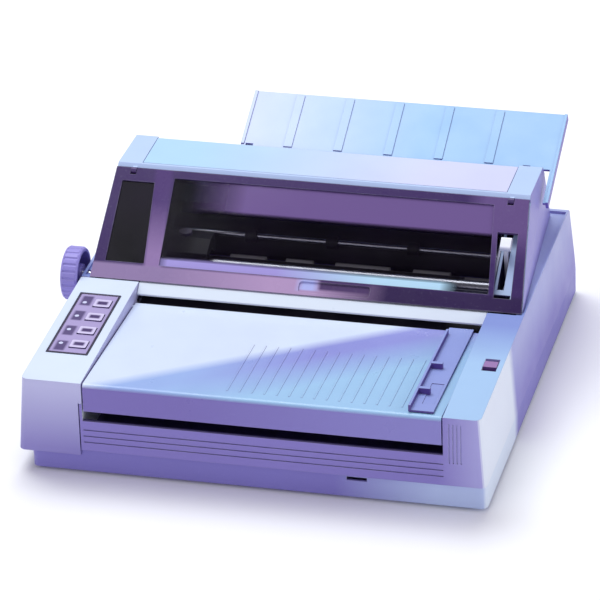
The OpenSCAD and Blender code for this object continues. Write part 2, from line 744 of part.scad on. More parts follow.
module upper_housing() place() color("#dfe7fa") {
    difference() {
        union() {
            difference() {
                housing_body(0);
                housing_body(wall);
            }
            // seat of the lid
            block([lid_l - 2, lid_y - 2, top_h - lid_t - 2.8], [lid_r + 2, lid_rear_y - 7, top_h - 1]);
        }
        // the paper's way out
        across(frame_l - 2, frame_r + 2) polygon([[lid_rear_y - 8, top_h - 2], [lid_rear_y - 8, guide_z - 2.6],
            [lid_rear_y + 1, guide_z - 1.5], [lid_rear_y + 12, guide_z - 1.5], [lid_rear_y + 12, top_h + 1]]);
        // lid opening
        block([lid_l, lid_y, top_h - lid_t - 0.3], [lid_r, lid_rear_y + 10, top_h + 1]);
        block([lid_l + 3, lid_y + 3, top_h - 10], [lid_r - 3, lid_rear_y - 8, top_h + 1]);
        block([lid_l, lid_rear_y - 7, top_h - 8], [lid_l + 6, lid_rear_y + 10, top_h + 1]);
        block([lid_r - 6, lid_rear_y - 7, top_h - 8], [lid_r, lid_rear_y + 10, top_h + 1]);
        rod([lid_pin_y, top_h - 1.3], 1 + run_fit, lid_l - 4, lid_r + 4);
        // trough that the smoked cover's upper edge turns in
        cover_hinge_at() translate([0, 0, left_x]) cylinder(h = case_w, r = 3.1);
        // trough that the sheet guide's lower edge turns in
        guide_hinge_at() translate([0, 0, guide_x - guide_w / 2 - 1]) cylinder(h = guide_w + 2, r = 5.8);
        // front mouth under the smoked cover
        across(cover_l0 + 8, cover_r1 - 2) polygon([[cover_y, deck_h - 2], [cover_y, cover_z],
            [cover_y + cover_run - 4, cover_at(cover_y + cover_run - 4) - 3],
            [cover_y + cover_run - 4, deck_h - 2]]);
        // the feed roller's shaft
        rod(feed_p, feed_shaft_r + 1, left_x, cover_l0 + 8);
    }
    // ears that hold the smoked cover's pins
    for (x = hinge_ears) difference() {
        union() {
            cover_hinge_at() translate([0, 0, x]) cylinder(h = 5, r = 2.9);
            across(x + 0.3, x + 4.7) translate([cover_y + cover_run - 1.5, cover_hinge_z + 0.2]) square([6, 2]);
        }
        cover_hinge_at() translate([0, 0, x - 1]) cylinder(h = 7, r = cover_pin_r + run_fit);
    }
    // ears that hold the sheet guide's pins
    for (x = guide_ears) difference() {
        union() {
            guide_hinge_at() translate([0, 0, x]) cylinder(h = 6, r = 2.9);
            across(x + 0.3, x + 5.7) polygon([[lid_rear_y + 3.6, guide_z - 14], [lid_rear_y + 3.6, guide_z - 4.6],
                [guide_y + 3.6, guide_z - 1.6], [guide_y + 6.6, guide_z - 4.4]]);
        }
        guide_hinge_at() translate([0, 0, x - 1]) cylinder(h = 8, r = guide_pin_r + run_fit);
    }
    // escutcheon under the lever opening
    intersection() {
        housing_body(wall / 2);
        on_slope() difference() {
            block([frame_r + frame_t + 0.5, 22, -11], [right_x, 92, -9]);
            block([lever_x - 1, 27, -12], [lever_x + lever_t + 1, 86, -8]);
        }
    }
    // ramp that turns the paper out at the rear
    across(frame_l + 1, frame_r - 1) polygon([[platen_p[0] + 24, platen_p[1] + 20],
        [lid_rear_y + 1, guide_z - 1.7],
        [lid_rear_y + 3.6, guide_z - 3], [lid_rear_y + 3.6, guide_z - 6],
        [platen_p[0] + 26, platen_p[1] + 18]]);
}

// Outline of the smoked cover on its slope
module cover_outline() {
    polygon([[cover_l0, -6], [cover_r0, -6], [cover_r1, slope_len], [cover_l1, slope_len]]);
}

// Openings of the smoked cover on its slope, grown by g
module window_outline(g) {
    offset(delta = g) polygon([[window_l0, window_s0], [window_r0, window_s0], [window_r1, slope_len - 6],
        [window_l1, slope_len - 6]]);
}
module side_outline(g) {
    offset(delta = g) polygon([[side_l0, window_s0 + 1], [window_l0 - 10, window_s0 + 1],
        [window_l1 - 14, slope_len - 12], [side_l1, slope_len - 12]]);
}
lever_s0 = 14;
lever_s1 = 80;
module lever_outline() {
    polygon([[window_r0 + 3, lever_s0], [cover_r0 - 12.5, lever_s0], [cover_r1 - 4.5, lever_s1],
        [window_r1 + 6, lever_s1]]);
}

module front_cover() place() color("#5b3a7d") {
    difference() {
        intersection() {
            across(left_x, right_x) polygon([[cover_y, cover_z],
                [cover_y + cover_run, cover_at(cover_y + cover_run)],
                [cover_y + cover_run + cover_t * sin(slope),
                    cover_at(cover_y + cover_run) - cover_t * cos(slope)],
                [cover_y + cover_t / sin(slope), cover_z]]);
            on_slope() translate([0, 0, -20]) linear_extrude(40) cover_outline();
        }
        on_slope() {
            up(-10, 10) window_outline(-2);
            up(-cover_t - 1, -1.2) window_outline(0);
            up(-10, 10) side_outline(-2);
            up(-cover_t - 1, -1.2) side_outline(0);
            up(-10, 10) lever_outline();
            // finger recess in the lower edge
            up(-1.4, 1) round_rect(-5, 3, 60, 14, 3);
            for (x = hinge_ears) block([x - 0.3, slope_len - 7, -10], [x + 5.3, slope_len + 5, 10]);
        }
    }
    for (x = hinge_ears) cover_hinge_at() translate([0, 0, x - 1]) cylinder(h = 7, r = cover_pin_r);
}

module cover_window() place() color("#2a1a3a", 0.5) on_slope() {
    up(-3, -1.2) window_outline(-0.15);
    up(-3, -1.2) side_outline(-0.15);
}

module top_lid() place() color("#e6edfb") {
    block([lid_l + 0.5, lid_y + 0.5, top_h - lid_t], [lid_r - 0.5, lid_rear_y, top_h]);
    rod([lid_pin_y, top_h - 1.3], 1, lid_l - 3, lid_l + 3);
    rod([lid_pin_y, top_h - 1.3], 1, lid_r - 3, lid_r + 3);
}

module sheet_guide() place() color("#bcd9f2") {
    on_guide() difference() {
        union() {
            translate([guide_x - guide_w / 2, 0, -guide_t]) cube([guide_w, guide_len, guide_t]);
            for (i = [0 : floor(guide_w / guide_rib_pitch) - 2])
                translate([guide_x - guide_w / 2 + guide_rib_x + guide_rib_pitch * i, 2, -eps])
                    cube([guide_rib_w, guide_len - 4, 0.9]);
            translate([guide_x - guide_w / 2, 2, -guide_t - 2]) cube([3, guide_len - 2, guide_t + 3]);
            // the right edge runs on as an arm beside the housing
            translate([guide_x + guide_w / 2, 0, 0]) {
                block([-5, -guide_arm, -guide_t], [0, 1, 0]);
                block([-2.5, -guide_arm, -guide_t - 4.5], [0, guide_len, 1]);
            }
            // knuckles beside the ears
            for (x = guide_ears) block([x - 4.4, 0.6, -guide_t - 4.4], [x + 10.4, 6, -1]);
        }
        for (x = guide_ears) translate([x - pass_gap, -1, -guide_t]) {
            translate([0, 0, -8]) cube([6 + 2 * pass_gap, 9, 9.2]);
            cube([6 + 2 * pass_gap, 4, guide_t + 2]);
        }
    }
    for (x = guide_ears) guide_hinge_at() translate([0, 0, x - 3]) cylinder(h = 12, r = guide_pin_r);
}

// ---- Frames ----

// Side outline shared by both frames, as [y, z]
module frame_side() {
    polygon([[frame_y0, frame_z0], [frame_y0, path_h - 8], [sill_y, path_h - 8],
        [cover_y + 6, path_h + 2], [cover_y + 6, path_h + 12.6], [cover_y + 14, path_h + 18],
        [platen_p[0] - 8, platen_p[1] + 42], [platen_p[0] + 16, platen_p[1] + 42],
        [frame_y1, platen_p[1] + 10], [frame_y1, frame_z0]]);
}

module frame_holes(x0, x1) {
    rod(feed_p, feed_shaft_r + run_fit, x0, x1);
    rod(platen_p, 5 + run_fit, x0, x1);
    rod(rod_p, rod_r + run_fit, x0, x1);
    rod(press_p, 2 + run_fit, x0, x1);
    rod(bail_pivot, 3 + run_fit, x0, x1);
    rod(tractor_p, 4 + run_fit, x0, x1);
}

// Foot flange of a frame, from x0 to x1
module frame_foot(x0, x1) {
    difference() {
        block([x0, frame_screw_y[0] - 15, frame_z0], [x1, frame_y1, frame_z0 + 2]);
        for (y = frame_screw_y)
            post([x0 < 0 ? frame_l + 8 : frame_r - 8, y], 2, frame_z0 - 1, frame_z0 + 3);
    }
}

module left_frame() place() color("#b7bcc6") {
    difference() {
        union() {
            across(frame_l - frame_t, frame_l) frame_side();
            frame_foot(frame_l - eps, frame_l + 16);
            // shelf for the belt's return pulley
            block([frame_l - eps, belt_y - 9, shelf_z],
                [return_x + 8, belt_y + 9, shelf_z + shelf_t]);
            post([return_x, belt_y], 1.5, shelf_z, belt_z + belt_h + 1);
            for (p = [idler_a_p, idler_b_p, tractor_ia_p, tractor_ib_p])
                rod(p, stud_r, gear_x - 2.5, frame_l);
            // plate that carries the feed motor, on standoffs
            for (y = [-22, 22])
                rod([pinion_p[0] + y, pinion_p[1] - 10], 3, gear_x - 5, frame_l);
            difference() {
                across(gear_x - 6, gear_x - 4)
                    translate([pinion_p[0] - 26, pinion_p[1] - 18]) square([52, 30]);
                rod(pinion_p, 6, gear_x - 7, gear_x - 3);
            }
        }
        frame_holes(frame_l - frame_t - 1, frame_l + 1);
    }
}

module right_frame() place() color("#b7bcc6") {
    difference() {
        union() {
            across(frame_r, frame_r + frame_t) frame_side();
            frame_foot(frame_r - 16, frame_r + eps);
            // shelf for the carriage motor
            difference() {
                block([drive_x - 16, belt_y - 18, shelf_z],
                    [frame_r + eps, belt_y + 14, shelf_z + shelf_t]);
                post([drive_x, belt_y], 3, shelf_z - 1, shelf_z + 3);
            }
            rod(lever_p, 3, frame_r, frame_r + frame_t + 9);
        }
        frame_holes(frame_r - 1, frame_r + frame_t + 1);
    }
}

module paper_floor() place() color("#33303f") {
    difference() {
        across(frame_l, frame_r) polygon([[sill_y - 3, path_h - 6], [sill_y + 17, path_h - 0.7],
            [belt_y - 6, path_h - 0.7], [belt_y + 5, path_h + 0.4], [belt_y + 10, path_h + 3.2],
            [nose_y - 5, path_h + 7.5], [nose_y - 4, path_h + 6.5], [belt_y + 11, path_h + 1.6],
            [belt_y + 5, path_h - 1.2], [belt_y - 6, path_h - 2.3], [sill_y + 17, path_h - 2.3],
            [sill_y - 3, path_h - 8]]);
        block([frame_l - 1, belt_y - 10, 0], [return_x + 9, belt_y + 10, path_h + 20]);
        block([drive_x - 17, belt_y - 19, 0], [frame_r + 1, belt_y + 19, path_h + 20]);
    }
    // ribs that stiffen the floor from below
    for (x = [-60, 50]) block([x, sill_y + 18, path_h - 14], [x + 2, belt_y - 8, path_h - 2.2]);
}

// ---- Paper drive ----

platen_l = path_x - platen_len / 2;
platen_rt = path_x + platen_len / 2;

module platen_core() place() color("#9aa0aa") {
    rod(platen_p, platen_r - 3, platen_l, platen_rt);
    rod(platen_p, 5, gear_x - 1.5, platen_rt + 12);
}

module platen_sleeve() place() color("#26242c") difference() {
    rod(platen_p, platen_r, platen_l + 1, platen_rt - 1);
    rod(platen_p, platen_r - 3, platen_l, platen_rt);
}

module platen_gear() place() color("#e8e6dc") spur(platen_teeth, platen_p, 5, platen_turn);

module feed_shaft() place() color("#9aa0aa")
    rod(feed_p, feed_shaft_r, knob_end_x + 4, frame_r + frame_t + 3);

sleeve_x0 = platen_l + 31.5;
sleeve_step = (platen_len - 63 - sleeve_w) / 3;
module feed_sleeves() place() color("#26242c")
    for (i = [0 : 3]) translate([sleeve_x0 + i * sleeve_step, 0, 0]) difference() {
        rod(feed_p, feed_r, 0, sleeve_w);
        rod(feed_p, feed_shaft_r, -1, sleeve_w + 1);
    }

module feed_gear() place() color("#e8e6dc") spur(feed_teeth, feed_p, feed_shaft_r, feed_turn);

module feed_knob() place() color("#9d93d8") {
    difference() {
        translate([knob_end_x, feed_p[0], feed_p[1]]) rotate([0, 90, 0]) rotate_extrude()
            polygon([[0, 0], [knob_r - 3, 0], [knob_r - 1, 0.8], [knob_r, 2.5], [knob_r, knob_t - 2],
                [knob_r - 1.5, knob_t], [knob_r - 4, knob_t], [knob_r - 4, 4], [9, 4],
                [9, knob_t - 1], [0, knob_t - 1]]);
        rod(feed_p, feed_shaft_r, knob_end_x + 4, knob_x + 5);
        // grip flutes round the rim
        for (a = [0 : 15 : 345])
            rod(along(feed_p, a, knob_r + 0.8), 1.6, knob_end_x + 2.5, knob_x + 1);
    }
}

stud_fit = stud_r + run_fit;
module idler_gear_a() place() color("#e8e6dc")
    spur(idler_a_teeth, idler_a_p, stud_fit, idler_a_turn);
module idler_gear_b() place() color("#e8e6dc")
    spur(idler_b_teeth, idler_b_p, stud_fit, idler_b_turn);
module tractor_idler_a() place() color("#e8e6dc")
    spur(tractor_idler_teeth, tractor_ia_p, stud_fit, tractor_ia_turn);
module tractor_idler_b() place() color("#e8e6dc")
    spur(tractor_idler_teeth, tractor_ib_p, stud_fit, tractor_ib_turn);

module feed_motor() place() color("#8d9097") {
    difference() {
        union() {
            rod(pinion_p, motor_r, motor_x, gear_x - 6);
            rod(pinion_p, 5.5, gear_x - 6 - eps, gear_x - 4);
        }
        rod(pinion_p, 1.5 + run_fit, motor_x + 8, gear_x);
    }
}

module motor_pinion() place() color("#c9a24a") {
    spur(pinion_teeth, pinion_p, 1.5, pinion_turn);
    rod(pinion_p, 1.5, motor_x + 9, gear_x + gear_t + 0.5);
}

module pressure_rollers() place() color("#d9d4ee") {
    rod(press_p, 2, frame_l - frame_t - 1, frame_r + frame_t + 1);
    for (s = [[-94.5, 33], [-42.5, 25], [3.5, 50], [75.5, 34]])
        rod(press_p, press_r, path_x + s[0], path_x + s[0] + s[1]);
}

// ---- Carriage ----

module carriage_shaft() place() color("#c8ccd2")
    rod(rod_p, rod_r, frame_l - frame_t, frame_r + frame_t + 1.5);

module carriage_rail() place() color("#9aa0aa") {
    block([frame_l, rail_y, path_h + 4], [frame_r, rail_y + rail_t, rail_top]);
    for (x = [frame_l, frame_r - 1.5])
        block([x, rail_y, path_h + 4], [x + 1.5, rail_y + 8, rail_top - 4]);
}

module carriage() place() color("#3b3846") {
    c = carriage_x;
    h = carriage_w / 2;
    difference() {
        union() {
            rod(rod_p, bushing_r, c - h, c + h);
            // bridge to the rail shoe
            block([c - 8, rail_y - 3, rail_top + pass_gap], [c + 8, rod_p[0] - 4, rail_top + 3.4]);
            block([c - 8, rail_y - 3, rail_top - 5], [c + 8, rail_y - pass_gap, rail_top + 1]);
            block([c - 8, rail_y + rail_t + pass_gap, rail_top - 5],
                [c + 8, rail_y + rail_t + 3, rail_top + 1]);
            // head platform
            block([c - head_w / 2 - 2, rod_p[0], belt_z + belt_h + 1.2],
                [c + head_w / 2 + 2, head_y + 15, belt_z + belt_h + 3.4]);
            // belt clamp
            block([c - 4, belt_y - pulley_r - belt_t - 2.2, belt_z - 0.4],
                [c + 4, belt_y - pulley_r - belt_t - pass_gap, belt_z + belt_h + 2]);
            block([c - 4, belt_y - pulley_r + pass_gap, belt_z - 0.4],
                [c + 4, belt_y - pulley_r + 2, belt_z + belt_h + 2]);
            // top plate for the ribbon
            block([c - h, rod_p[0] - 8, rod_p[1] + 8], [c + h, rod_p[0] + 9, rod_p[1] + bushing_r + 1]);
        }
        rod(rod_p, rod_r + run_fit, c - h - 1, c + h + 1);
    }
}

head_z0 = belt_z + belt_h + 3.4;
nose_z = platen_p[1];

module print_head() place() color("#20222a") {
    c = carriage_x;
    difference() {
        block([c - head_w / 2, head_y, head_z0], [c + head_w / 2, head_y + 14, nose_z + 8.5]);
        // cooling fins
        for (i = [0 : 5]) translate([c - head_w / 2 + 3 + i * 4.4, 0, 0])
            block([0, head_y - 1, head_z0 + 4], [2, head_y + 11, nose_z + 10]);
    }
    across(c - 7, c + 7) polygon([[head_y + 13, head_z0], [head_y + 13, nose_z + 8],
        [nose_y - 3, nose_z + 4], [nose_y, nose_z + 4], [nose_y, nose_z - 4], [nose_y - 3, nose_z - 4.5]]);
}

ribbon_z = rod_p[1] + bushing_r + 1;

module ribbon_cartridge() place() color("#26232e") {
    c = carriage_x;
    h = ribbon_w / 2;
    difference() {
        across(c - h, c + h) polygon([[rod_p[0] - 9, ribbon_z], [rod_p[0] - 9, ribbon_z + 4],
            [rod_p[0] + 6, ribbon_z + 11.5], [rod_p[0] + 20, ribbon_z + 11.5], [rod_p[0] + 20, ribbon_z]]);
        // seat of the ribbon knob
        post([c, rod_p[0] + 12], 1.5 + run_fit, ribbon_z + 5, ribbon_z + 13);
    }
    // arms that hold the ribbon across the nose
    for (x = [c + head_w / 2 + 3, c - head_w / 2 - 6]) across(x, x + 3)
        polygon([[rod_p[0] + 12, ribbon_z + 2], [rod_p[0] + 20, ribbon_z + 2],
            [nose_y + 0.4, nose_z + 5], [nose_y + 0.4, nose_z - 4], [nose_y - 4, nose_z - 4]]);
    block([c - head_w / 2 - 5, nose_y + 0.25, nose_z - 3.5],
        [c + head_w / 2 + 5, nose_y + 0.55, nose_z + 4]);
}

module ribbon_knob() place() color("#7d74b8") {
    c = carriage_x;
    post([c, rod_p[0] + 12], 1.5, ribbon_z + 6, ribbon_z + 12);
    difference() {
        post([c, rod_p[0] + 12], 6, ribbon_z + 11.8, ribbon_z + 14.6);
        for (a = [0 : 45 : 315])
            post(along([c, rod_p[0] + 12], a, 6.6), 1.4, ribbon_z + 11, ribbon_z + 15);
    }
}

module belt_loop(g) {
    hull() {
        translate([return_x, belt_y]) circle(r = pulley_r + g, $fn = 32);
        translate([drive_x, belt_y]) circle(r = pulley_r + g, $fn = 32);
    }
}

module carriage_belt() place() color("#1d1c22") up(belt_z, belt_z + belt_h) difference() {
    belt_loop(belt_t);
    belt_loop(0);
}

module pulley(x, bore) {
    difference() {
        union() {
            post([x, belt_y], pulley_r - 0.3, belt_z - 0.6, belt_z + belt_h + 0.6);
            post([x, belt_y], pulley_r + 1.4, belt_z - 1, belt_z - 0.3);
            post([x, belt_y], pulley_r + 1.4, belt_z + belt_h + 0.3, belt_z + belt_h + 1);
        }
        post([x, belt_y], bore, belt_z - 3, belt_z + belt_h + 3);
    }
}

module drive_pulley() place() color("#d0cfd8") {
    pulley(drive_x, 1.5);
    post([drive_x, belt_y], 1.5, shelf_z - 14, belt_z + belt_h + 1);
}
module return_pulley() place() color("#d0cfd8") pulley(return_x, 1.5 + run_fit);

module carriage_motor() place() color("#8d9097") difference() {
    post([drive_x, belt_y], 15.5, shelf_z - 32, shelf_z);
    post([drive_x, belt_y], 1.5 + run_fit, shelf_z - 15, shelf_z + 1);
}

module paper_bail() place() color("#c8ccd2") {
    rod(bail_p, 2.4, frame_l + 3, frame_r - 3);
    for (x = [frame_l + 2, frame_r - 4]) {
        across(x, x + 2) hull() {
            translate(bail_p) circle(r = 4.5, $fn = 32);
            translate(bail_pivot) circle(r = 6, $fn = 32);
        }
    }
    rod(bail_pivot, 3, frame_l - frame_t - 1, frame_l + 3);
    rod(bail_pivot, 3, frame_r - 3, frame_r + frame_t + 1);
}

module bail_rollers() place() color("#3a3842")
    for (x = [-70, 5, 80]) difference() {
        rod(bail_p, bail_r, x, x + 10);
        rod(bail_p, 2.4 + run_fit, x - 1, x + 11);
    }

lever_x = frame_r + frame_t + 4;
lever_t = 4;
lever_tip = [cover_y + 55, cover_at(cover_y + 55) + 1];

module thickness_lever() place() color("#f2f1f6") {
    difference() {
        union() {
            rod(lever_p, 6, lever_x, lever_x + lever_t);
            across(lever_x, lever_x + lever_t) hull() {
                translate(lever_p) circle(r = 5, $fn = 32);
                translate(lever_tip) circle(r = 3, $fn = 32);
            }
            across(lever_x - 2.5, lever_x + 7) translate(lever_tip) rotate(slope) round_rect(-6, -1.5, 6, 5, 2);
        }
        rod(lever_p, 3 + run_fit, lever_x - 1, lever_x + lever_t + 1);
    }
}

// ---- Tractors ----

module tractor_shaft() place() color("#9aa0aa") {
    across(frame_l + 1, frame_r - 1) translate([tractor_p[0], tractor_p[1]]) square(tractor_sq, center = true);
    rod(tractor_p, 4, gear_x - 1, frame_l + 2);
    rod(tractor_p, 4, frame_r - 2, frame_r + frame_t + 2);
    spur(feed_teeth, tractor_p, 4, tractor_turn);
}

module tractor_rod() place() color("#c8ccd2")
    rod(tractor_rod_p, tractor_rod_r, bay_l - wall, bay_r + wall - 1.2);

tractor_top = tractor_p[1] + 11;
tractor_x = [frame_l + 30, frame_r - 30];
lug_y0 = tractor_rod_p[0] + 8;
lug_y1 = tractor_p[0] - 8;
door_pin = [-1.8, tractor_top + 0.4];

module tractor_side(g = 0) {
    hull() {
        translate(tractor_rod_p) circle(r = 10.5 + g, $fn = 32);
        translate(tractor_p) circle(r = 10.5 + g, $fn = 32);
    }
}

// Places a tractor's piece: the first has its outer face at the left, the second at the right
module tractor_at(i) { translate([tractor_x[i], 0, 0]) mirror([i, 0, 0]) children(); }

// A rod along Y at [x, z]
module rod_y(p, r, y0, y1) {
    translate([p[0], y0, p[1]]) rotate([-90, 0, 0]) cylinder(h = y1 - y0, r = r);
}

module tractor(i) tractor_at(i) {
    difference() {
        union() {
            across(0, tractor_w) tractor_side();
            // belt pins
            for (k = [0 : 3]) post([tractor_w / 2, tractor_rod_p[0] + 4 + k * 12.7], 1.6,
                tractor_p[1] + 10, tractor_top + 1.2);
            // hinge lug of the door
            block([-1.5, lug_y0, tractor_p[1] - 4], [eps, lug_y1, tractor_top - 2]);
            block([door_pin[0] - 1.4, lug_y0, tractor_p[1] + 2], [-0.4, lug_y1, door_pin[1] + 1.2]);
        }
        rod(tractor_rod_p, tractor_rod_r + run_fit, -4, tractor_w + 1);
        rod(tractor_p, tractor_sq * 0.7072 + 0.3, -4, tractor_w + 1);
        // belt grooves on both faces
        for (x = [-1, tractor_w - 1]) across(x, x + 2) difference() {
            tractor_side(-2);
            tractor_side(-3.5);
        }
        rod_y(door_pin, 0.7 + run_fit, lug_y0 - 1, lug_y1 + 1);
    }
}
module tractor_left() place() color("#4a4658") tractor(0);
module tractor_right() place() color("#4a4658") tractor(1);

// Hinged door over a tractor's pins
module tractor_door(i) tractor_at(i) {
    difference() {
        block([0.3, tractor_rod_p[0] + 1, tractor_top + 1.7],
            [tractor_w, tractor_p[0] - 1, tractor_top + 3.5]);
        block([tractor_w / 2 - 2.2, tractor_rod_p[0] + 2, tractor_top + 1],
            [tractor_w / 2 + 2.2, tractor_p[0] - 4, tractor_top + 4]);
    }
    for (y = [lug_y0 - 4.3, lug_y1 + 0.3]) {
        block([door_pin[0] - 1.2, y, door_pin[1] - 1.2], [-0.4, y + 4, tractor_top + 3.5]);
        block([-0.5, y, tractor_top + 1.7], [0.4, y + 4, tractor_top + 3.5]);
    }
    rod_y(door_pin, 0.7, lug_y0 - 2, lug_y1 + 2);
}
module tractor_door_left() place() color("#6a6580") tractor_door(0);
module tractor_door_right() place() color("#6a6580") tractor_door(1);

// ---- Electrics ----

module control_board() place() color("#2f6b46") {
    z = board_z + board_t - eps;
    block([board_l, board_y, board_z], [board_r, board_y + board_d, board_z + board_t]);
    for (i = [0 : 4]) translate([board_l + 18 + i * 44, board_y + 20, z]) cube([28, 16, 4.4]);
    for (i = [0 : 2]) translate([board_l + 28 + i * 60, board_y + 80, z]) cube([34, 34, 3.4]);
    for (i = [0 : 3]) post([board_l + 18 + i * 30, board_y + 140], 4, z, z + 8);
}

supply_x = board_r - 90;
supply_y = case_d - supply_d - 29;
module power_supply() place() color("#6f6b66") translate([supply_x, supply_y, foot_h + wall]) {
    cube([supply_w, supply_d, supply_h]);
    translate([6, -5, 6]) cube([supply_w - 12, 5 + eps, supply_h - 12]);
}

module rear_sockets() place() color("#3c3a44") {
    difference() {
        block([-149.5, socket_y + 2, 40.5], [-88.5, case_d - 10, 55.5]);
        block([-142, case_d - 16, 44], [-96, case_d, 52]);
    }
    block([-138, case_d - 17, 46], [-100, case_d - 11, 50]);
    difference() {
        block([110.5, socket_y + 2, 36.5], [137.5, case_d - 8, 56.5]);
        block([113, case_d - 20, 39], [135, case_d, 54]);
    }
    for (x = [118, 124, 130]) block([x - 1, case_d - 21, 45], [x + 1, case_d - 10, 48]);
    // frame that carries the switch
    difference() {
        block([150.4, socket_y + 4, 36.4], [170.6, case_d - 9, 50.6]);
        block([151.7, socket_y + 3, 37.4], [169.3, case_d, 49.6]);
    }
    rod(switch_p, 1.4, 150.5, 170.5);
}

switch_p = [case_d - 15, 43.5];

module power_switch() place() color("#22212a") difference() {
    across(152.2, 168.8) polygon([[case_d - 17, 40.5], [case_d - 9, 39], [case_d - 9.8, 43.5],
        [case_d - 7.4, 48.4], [case_d - 17, 46.5]]);
    rod(switch_p, 1.4 + run_fit, 151, 170);
}

module case_screws() place() color("#8a8d94")
    for (x = [frame_l + 8, frame_r - 8], y = frame_screw_y) {
        post([x, y], 1.4, frame_z0 - 8, frame_z0 + 2.1);
        post([x, y], 3.2, frame_z0 + 2.05, frame_z0 + 4);
    }

bottom_pan();
rubber_feet();
main_case();
control_pod();
key_frame();
key_1();
key_2();
key_3();
key_4();
indicator_lamps();
selector_slide();
front_table();
edge_guide();
paper_sill();
upper_housing();
front_cover();
cover_window();
top_lid();
sheet_guide();
left_frame();
right_frame();
paper_floor();
platen_core();
platen_sleeve();
platen_gear();
feed_shaft();
feed_sleeves();
feed_gear();
feed_knob();
idler_gear_a();
idler_gear_b();
feed_motor();
motor_pinion();
pressure_rollers();
carriage_shaft();
carriage_rail();
carriage();
print_head();
ribbon_cartridge();
ribbon_knob();
carriage_belt();
drive_pulley();
return_pulley();
carriage_motor();
paper_bail();
bail_rollers();
thickness_lever();
tractor_shaft();
tractor_rod();
tractor_left();
tractor_right();
tractor_door_left();
tractor_door_right();
tractor_idler_a();
tractor_idler_b();
control_board();
power_supply();
rear_sockets();
power_switch();
case_screws();
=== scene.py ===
import math

import bpy
import bmesh
from mathutils import Matrix, Vector


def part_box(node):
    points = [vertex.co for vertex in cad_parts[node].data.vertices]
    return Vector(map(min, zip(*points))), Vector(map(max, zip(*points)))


# Lengths are metres in the model's frame: +X right, +Y to the rear, +Z up, with the origin on
# the ground in the middle of the footprint. A mask is a shader value from 0 to 1.
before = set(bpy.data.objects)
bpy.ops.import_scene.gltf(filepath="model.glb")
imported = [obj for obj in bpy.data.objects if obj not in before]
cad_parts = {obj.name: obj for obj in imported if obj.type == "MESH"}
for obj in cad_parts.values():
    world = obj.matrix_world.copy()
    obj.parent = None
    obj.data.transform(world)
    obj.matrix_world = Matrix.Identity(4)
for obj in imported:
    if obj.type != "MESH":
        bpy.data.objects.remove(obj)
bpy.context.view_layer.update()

# ---------------------------------------------------------------- camera
PICTURE_PX = 600.0
FOCAL_PX = 4529.33
FILM_MM = 36.0
CAMERA_YAW, CAMERA_PITCH, CAMERA_ROLL = 14.74, 28.0, -2.0
CAMERA_PLACE = (0.91217, -3.46052, 1.98093)
FAR_CLIP = 50.0


def make_camera():
    """A long lens, fitted to the straight edges of the case."""
    yaw, pitch, roll = (math.radians(angle) for angle in (CAMERA_YAW, CAMERA_PITCH, CAMERA_ROLL))
    level = Vector((math.cos(yaw), math.sin(yaw), 0.0))
    ahead = Vector((-math.sin(yaw) * math.cos(pitch), math.cos(yaw) * math.cos(pitch), -math.sin(pitch)))
    lift = level.cross(ahead)
    right = math.cos(roll) * level + math.sin(roll) * lift
    up = -math.sin(roll) * level + math.cos(roll) * lift

    data = bpy.data.cameras.new("camera")
    data.sensor_width = FILM_MM
    data.lens = FILM_MM * FOCAL_PX / PICTURE_PX
    data.clip_end = FAR_CLIP
    camera = bpy.data.objects.new("camera", data)
    bpy.context.scene.collection.objects.link(camera)
    turn = Matrix((right, up, -ahead)).transposed().to_4x4()
    turn.translation = Vector(CAMERA_PLACE)
    camera.matrix_world = turn
    bpy.context.scene.camera = camera


# ---------------------------------------------------------------- shader helpers
AXES = {"x": (1, 0, 0), "y": (0, 1, 0), "z": (0, 0, 1)}
MIX_FACTOR, MIX_A, MIX_B, MIX_RESULT = 0, 6, 7, 2
BEVEL_SAMPLES = 4
# Cosine between the true normal and the rounded one, on a flat face and on an edge
FLAT_COSINE, EDGE_COSINE = 0.995, 0.90
# Share of a normal along an axis from which a face counts as wholly facing that way
FULLY_FACING = 0.75


def tone(red, green, blue):
    """A screen colour, 0 to 255 each, as the linear colour that shaders take."""
    def linear(value):
        value /= 255.0
        return value / 12.92 if value <= 0.04045 else ((value + 0.055) / 1.055) ** 2.4
    return (linear(red), linear(green), linear(blue), 1.0)


def scaled(colour, factor, lift=0.0):
    """A colour made lighter or darker."""
    return tuple(min(1.0, channel * factor + lift) for channel in colour[:3]) + (1.0,)


